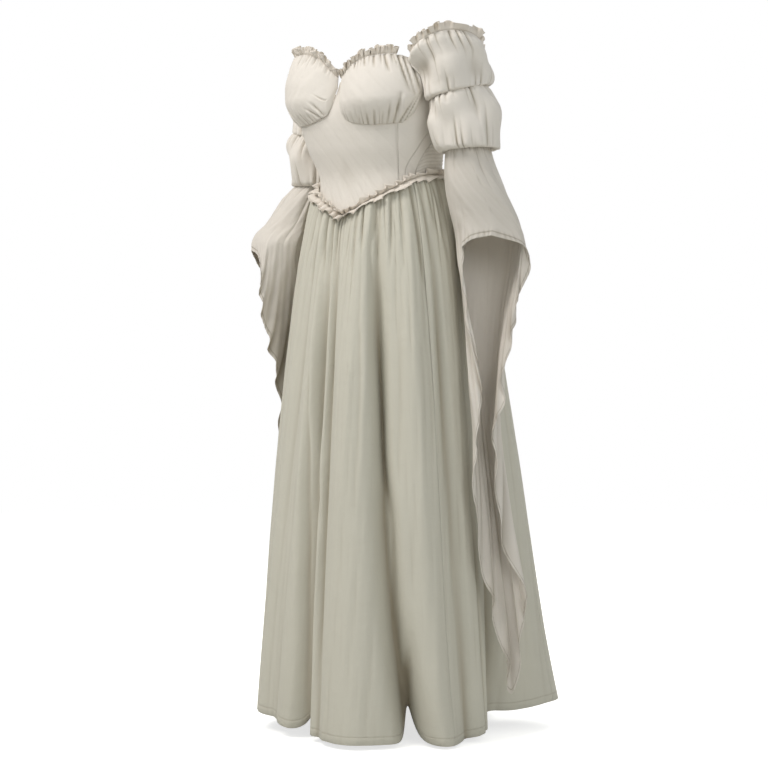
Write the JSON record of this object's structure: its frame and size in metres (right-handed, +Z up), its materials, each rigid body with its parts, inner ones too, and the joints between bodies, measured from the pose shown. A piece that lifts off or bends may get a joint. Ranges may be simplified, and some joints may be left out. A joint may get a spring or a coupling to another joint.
{
  "type": "renaissance ball gown",
  "caption": "Full-length off-shoulder gown with gathered cups, pointed basque waist, full gathered skirt, puffed sleeves and long cascading bells.",
  "frame": {"origin": "middle of the wearer's waist, level with the top of the waist seam at the sides", "axes": "+Z up, -Y the way the gown faces, +X the wearer's left"},
  "size_m": [0.607, 0.5397, 1.3324],
  "materials": {
    "ivory_cotton": "matte plain-weave cotton"
  },
  "bodies": {
    "root": {"bodice_front": "ivory_cotton", "bodice_side_left": "ivory_cotton", "bodice_side_right": "ivory_cotton", "side_strip_left": "ivory_cotton", "side_strip_right": "ivory_cotton", "bodice_back": "ivory_cotton", "cup_left": "ivory_cotton", "neck_frill_left": "ivory_cotton", "cup_right": "ivory_cotton", "neck_frill_right": "ivory_cotton", "back_frill": "ivory_cotton", "skirt_front": "ivory_cotton", "skirt_left": "ivory_cotton", "skirt_back": "ivory_cotton", "skirt_right": "ivory_cotton", "waist_frill": "ivory_cotton", "upper_puff_left": "ivory_cotton", "lower_puff_left": "ivory_cotton", "sleeve_frill_left": "ivory_cotton", "bell_left": "ivory_cotton", "upper_puff_right": "ivory_cotton", "lower_puff_right": "ivory_cotton", "sleeve_frill_right": "ivory_cotton", "bell_right": "ivory_cotton"}
  },
  "joints": []
}
